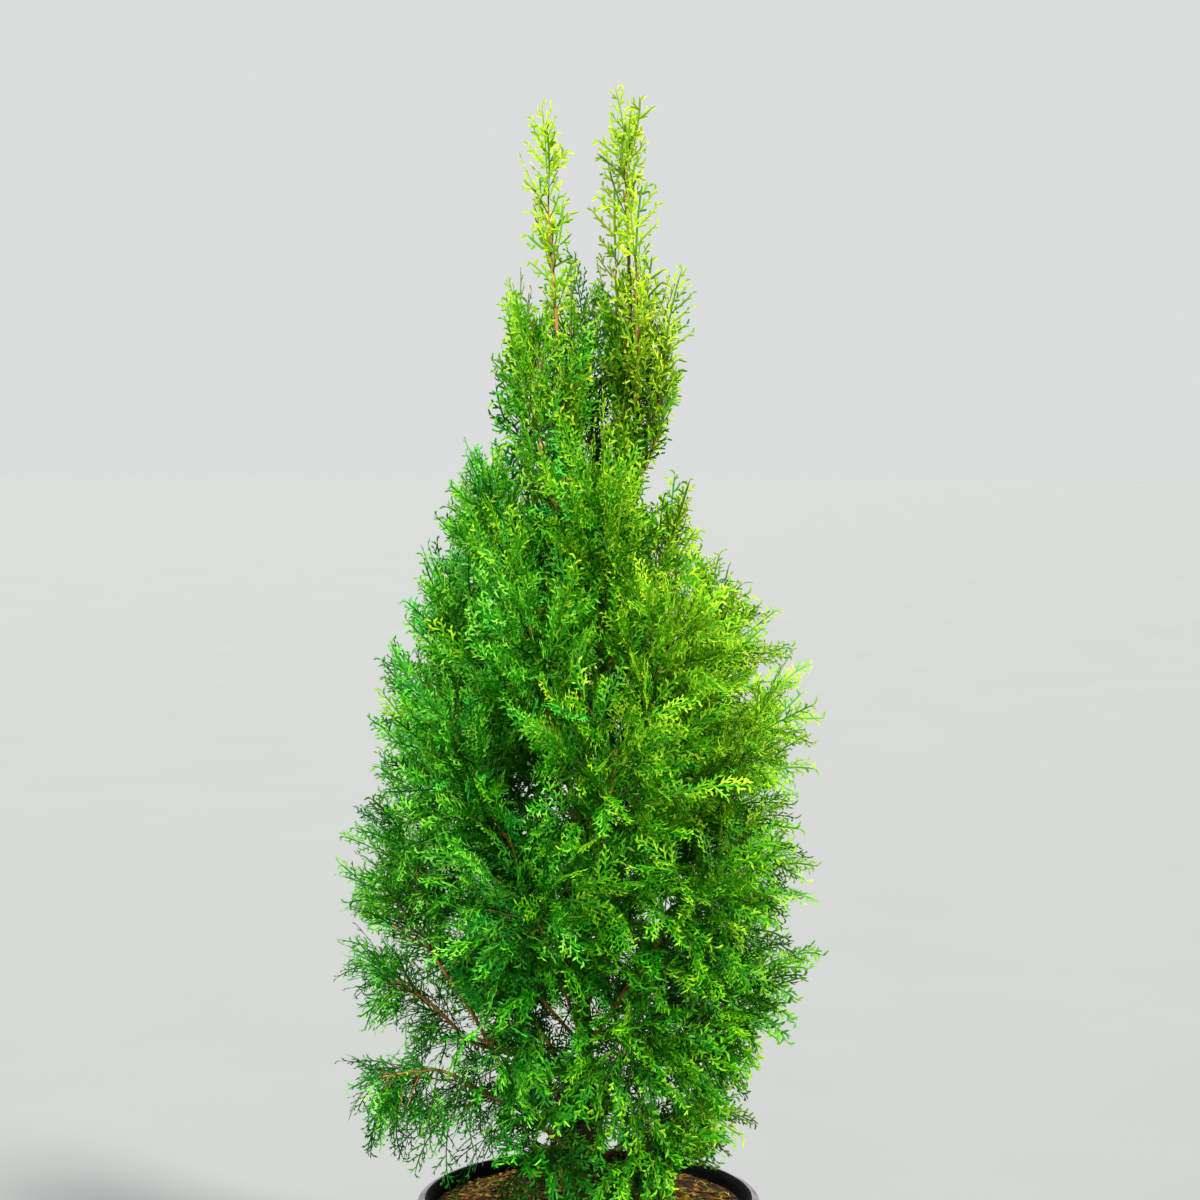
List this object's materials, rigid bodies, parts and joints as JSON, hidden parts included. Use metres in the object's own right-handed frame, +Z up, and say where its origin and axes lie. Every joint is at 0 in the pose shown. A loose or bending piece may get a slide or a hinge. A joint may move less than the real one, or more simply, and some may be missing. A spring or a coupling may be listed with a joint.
{
  "type": "potted thuja",
  "caption": "Young thuja with two leaders and dense flat sprays of scale leaves in a bushy cone, standing in compost in a round nursery pot with a rolled lip.",
  "frame": {"origin": "middle of the pot's flat underside, on the pot's axis", "axes": "+Z up along the pot's axis and the plant's height, +X to the plant's right as seen from the front, -Y to the front"},
  "size_m": [0.3838, 0.3886, 1.1253],
  "materials": {
    "pot": "black, semi-matt, with a greyish sheen on the lip",
    "compost": "damp, crumbly, with chips of bark",
    "bark": "matt brown bark",
    "young_bark": "matt orange-brown bark",
    "foliage_deep": "waxy deep green scale leaves",
    "foliage_mid": "waxy mid green scale leaves",
    "foliage_bright": "waxy yellow-green young scale leaves"
  },
  "bodies": {
    "root": {"bough_left": "young_bark", "bough_left_arm": "young_bark", "bough_left_low": "young_bark", "bough_low_1": "bark", "bough_low_2": "bark", "bough_low_3": "bark", "bough_low_4": "bark", "bough_low_5": "bark", "bough_skirt_1": "bark", "bough_skirt_2": "bark", "bough_skirt_3": "bark", "bough_skirt_4": "bark", "compost": "compost", "foliage_back_top": "foliage_mid", "foliage_broad_1": "foliage_mid", "foliage_broad_2": "foliage_mid", "foliage_broad_3": "foliage_mid", "foliage_broad_4": "foliage_mid", "foliage_broad_5": "foliage_mid", "foliage_front_top": "foliage_bright", "foliage_left": "foliage_deep", "foliage_left_arm": "foliage_deep", "foliage_left_back": "foliage_bright", "foliage_left_front": "foliage_bright", "foliage_left_low": "foliage_deep", "foliage_left_tip": "foliage_bright", "foliage_low_1": "foliage_deep", "foliage_low_2": "foliage_deep", "foliage_low_3": "foliage_deep", "foliage_low_4": "foliage_deep", "foliage_low_5": "foliage_deep", "foliage_middle_1": "foliage_deep", "foliage_middle_2": "foliage_deep", "foliage_middle_3": "foliage_deep", "foliage_middle_4": "foliage_deep", "foliage_middle_5": "foliage_deep", "foliage_neck_1": "foliage_bright", "foliage_neck_2": "foliage_bright", "foliage_neck_3": "foliage_bright", "foliage_right_arm": "foliage_bright", "foliage_right_back": "foliage_bright", "foliage_right_front": "foliage_bright", "foliage_right_tip": "foliage_bright", "foliage_shoulder": "foliage_bright", "foliage_side_tip": "foliage_bright", "foliage_skirt_1": "foliage_deep", "foliage_skirt_2": "foliage_deep", "foliage_skirt_3": "foliage_deep", "foliage_skirt_4": "foliage_deep", "foliage_upper_1": "foliage_mid", "foliage_upper_2": "foliage_mid", "foliage_upper_3": "foliage_mid", "foliage_upper_4": "foliage_mid", "foliage_upper_5": "foliage_mid", "leader_left": "young_bark", "leader_side": "young_bark", "pot": "pot", "trunk": "bark"}
  },
  "joints": []
}
